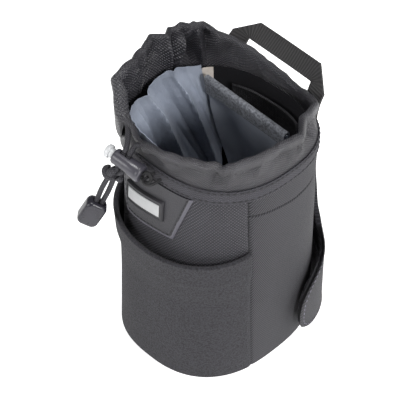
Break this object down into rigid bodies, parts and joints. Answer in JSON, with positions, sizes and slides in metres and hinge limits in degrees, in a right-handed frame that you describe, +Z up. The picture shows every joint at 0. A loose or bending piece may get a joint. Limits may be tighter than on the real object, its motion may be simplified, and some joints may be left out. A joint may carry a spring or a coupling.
{
  "type": "lens pouch",
  "caption": "Padded round-cornered lens pouch with a drawcord collar and cord lock, a stretch front pocket, a webbing grab handle and a belt flap on its back.",
  "frame": {"origin": "centre of the flat underside, on the surface that the pouch stands on", "axes": "+Z up towards the drawcord collar, -Y towards the front pocket, +Y towards the belt flap, +X to the right seen from the front"},
  "size_m": [0.1213, 0.1465, 0.1895],
  "materials": {
    "ballistic": "coarse mesh-weave nylon, charcoal black",
    "twill": "diagonal twill nylon, charcoal",
    "collar": "thin coated nylon with a slight sheen",
    "stretch": "smooth matte stretch knit",
    "foam": "closed-cell padding",
    "lining": "silky pale blue-grey lining",
    "dark_lining": "black lining",
    "hook": "black hook tape",
    "loop": "grey fuzzy loop tape",
    "leather": "satin synthetic leather with a pale cut edge",
    "rubber": "moulded black rubber",
    "inset": "plain pale satin face",
    "webbing": "ribbed nylon webbing",
    "cord": "braided black cord",
    "gloss": "glossy black plastic",
    "satin": "satin grey plastic",
    "steel": "bright spring wire"
  },
  "bodies": {
    "pouch": {"front_panel": "ballistic", "side_back_panel": "twill", "base_panel": "twill", "base_pad": "foam", "base_lining": "lining", "foam_sleeve": "foam", "collar": "collar", "collar_band": "twill", "lining": "lining", "back_lining": "dark_lining", "hook_strip": "hook", "stretch_pocket": "stretch", "pocket_hem": "stretch", "label_patch": "leather", "label_plate": "rubber", "label_inset": "inset", "belt_flap_hook": "hook", "belt_flap_anchor": "webbing", "cord_lock_barrel": "gloss", "cord_lock_spring": "steel", "cord_lock_anchor": "webbing", "drawcord": "cord", "lock_strand_a": "cord", "lock_strand_b": "cord"},
    "plunger": {"cord_lock_plunger": "satin"},
    "cord_tail": {"drawcord_knot": "cord", "tail_strand_a": "cord", "tail_strand_b": "cord", "cord_end_front": "satin", "cord_end_back": "satin"},
    "grab_handle": {"handle": "webbing"},
    "belt_flap": {"belt_flap": "twill", "belt_flap_loop": "loop"},
    "lining_flap": {"lining_flap": "lining", "loop_strip": "loop"}
  },
  "joints": [
    {"name": "belt_flap_swing", "type": "hinge", "parent": "pouch", "child": "belt_flap", "pos_m": [0, 0.0597, 0.1176], "axis": [1, 0, 0], "range_deg": [0, 100]},
    {"name": "handle_swing", "type": "hinge", "parent": "pouch", "child": "grab_handle", "pos_m": [0, 0.059, 0.1375], "axis": [-1, 0, 0], "range_deg": [0, 60], "stiffness_Nm_per_rad": 0.03},
    {"name": "plunger_press", "type": "slide", "parent": "pouch", "child": "plunger", "axis": [0.9551, 0.159, -0.25], "range_m": [0, 0.0025], "stiffness_N_per_m": 200, "deforming": ["cord_lock_spring"]},
    {"name": "tail_swing", "type": "hinge", "parent": "pouch", "child": "cord_tail", "pos_m": [-0.0186, -0.0556, 0.1466], "axis": [-1, 0, 0], "range_deg": [-8, 60]},
    {"name": "lining_flap_swing", "type": "hinge", "parent": "pouch", "child": "lining_flap", "pos_m": [0, 0.0501, 0.04], "axis": [1, 0, 0], "range_deg": [0, 12]}
  ]
}
